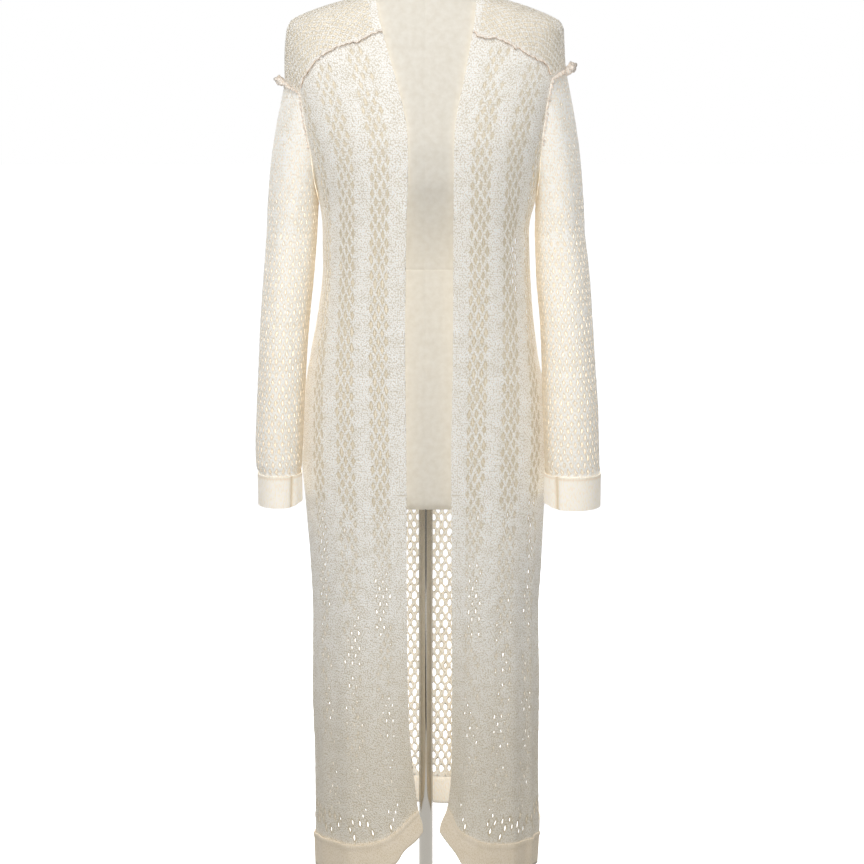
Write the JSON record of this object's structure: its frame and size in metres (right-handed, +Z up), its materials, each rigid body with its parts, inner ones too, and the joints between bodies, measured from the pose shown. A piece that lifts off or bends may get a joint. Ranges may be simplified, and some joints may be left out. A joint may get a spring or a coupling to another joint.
{
  "type": "drape cardigan on a limbless dress form",
  "caption": "Long open-front mesh-knit drape cardigan with plain cuffs and hem bands, worn by a limbless dress form on a pole and a round base plate.",
  "frame": {"origin": "centre of the base plate's underside, on the pole's axis", "axes": "+Z up, -Y the front of the garment, +X the wearer's left side"},
  "size_m": [0.4801, 0.36, 1.5],
  "materials": {
    "mesh_knit": "matte cotton mesh knit with a slight sheen",
    "plain_knit": "matte fine plain knit",
    "rolled_edge_knit": "matte curled raw knit edge",
    "linen_cover": "matte plain-woven linen",
    "polished_tube": "polished",
    "steel_plate": "satin"
  },
  "bodies": {
    "root": {"front_left": "mesh_knit", "front_right": "mesh_knit", "back": "mesh_knit", "yoke": "mesh_knit", "sleeve_left": "mesh_knit", "sleeve_right": "mesh_knit", "cuff_left": "plain_knit", "cuff_right": "plain_knit", "hem_band_front_left": "plain_knit", "hem_band_front_right": "plain_knit", "hem_band_back": "plain_knit", "yoke_roll_front_left": "rolled_edge_knit", "yoke_roll_front_right": "rolled_edge_knit", "yoke_roll_back": "rolled_edge_knit", "armhole_roll_left": "rolled_edge_knit", "armhole_roll_right": "rolled_edge_knit", "dress_form": "linen_cover", "pole": "polished_tube", "base_plate": "steel_plate"}
  },
  "joints": []
}
